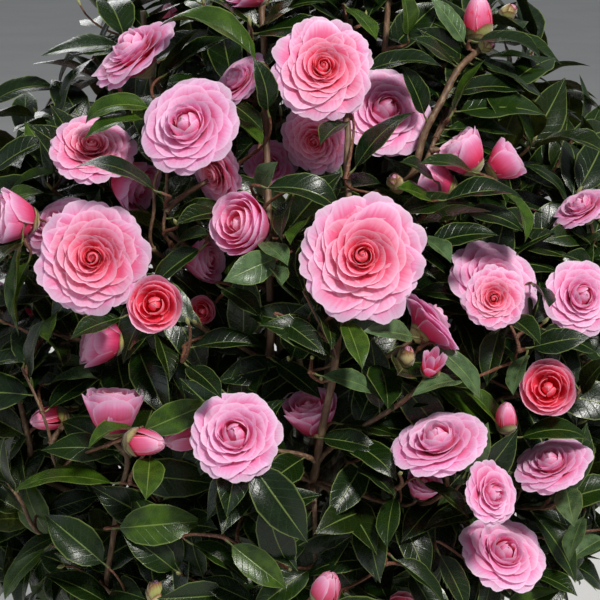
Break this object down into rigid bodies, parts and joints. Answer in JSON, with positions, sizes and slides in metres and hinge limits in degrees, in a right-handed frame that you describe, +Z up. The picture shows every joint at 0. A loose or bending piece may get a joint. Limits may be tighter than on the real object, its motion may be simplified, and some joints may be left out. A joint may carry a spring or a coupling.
{
  "type": "camellia shrub",
  "caption": "Rooted evergreen shrub with a flared trunk, curved boughs all round, broad leaves and double pink flowers from tight buds to full blooms.",
  "frame": {"origin": "middle of the flat cut under the trunk, at ground level", "axes": "+Z up; the viewed side faces -Y; +X is the viewer's right"},
  "size_m": [0.7106, 0.6835, 0.8617],
  "materials": {
    "bark": "matt, finely furrowed grey-brown bark",
    "shoots": "smooth red-brown young twigs",
    "foliage": "glossy dark green leaves",
    "sepals": "silky cream-green bud scales",
    "petals": "soft satin, pink, deeper towards the heart of each flower"
  },
  "bodies": {
    "root": {"trunk": "bark", "bough_top_1": "bark", "bough_top_2": "bark", "bough_top_3": "bark", "bough_top_4": "bark", "bough_top_5": "bark", "bough_top_6": "bark", "bough_side_1": "bark", "bough_side_2": "bark", "bough_side_3": "bark", "bough_side_4": "bark", "bough_side_5": "bark", "bough_side_6": "bark", "bough_side_7": "bark", "bough_side_8": "bark", "bough_skirt_1": "bark", "bough_skirt_2": "bark", "bough_skirt_3": "bark", "bough_skirt_4": "bark", "bough_skirt_5": "bark", "bough_skirt_6": "bark", "foliage_leader": "foliage", "foliage_top_1": "foliage", "foliage_top_2": "foliage", "foliage_top_3": "foliage", "foliage_top_4": "foliage", "foliage_top_5": "foliage", "foliage_top_6": "foliage", "foliage_side_1": "foliage", "foliage_side_2": "foliage", "foliage_side_3": "foliage", "foliage_side_4": "foliage", "foliage_side_5": "foliage", "foliage_side_6": "foliage", "foliage_side_7": "foliage", "foliage_side_8": "foliage", "foliage_skirt_1": "foliage", "foliage_skirt_2": "foliage", "foliage_skirt_3": "foliage", "foliage_skirt_4": "foliage", "foliage_skirt_5": "foliage", "foliage_skirt_6": "foliage"}
  },
  "joints": []
}
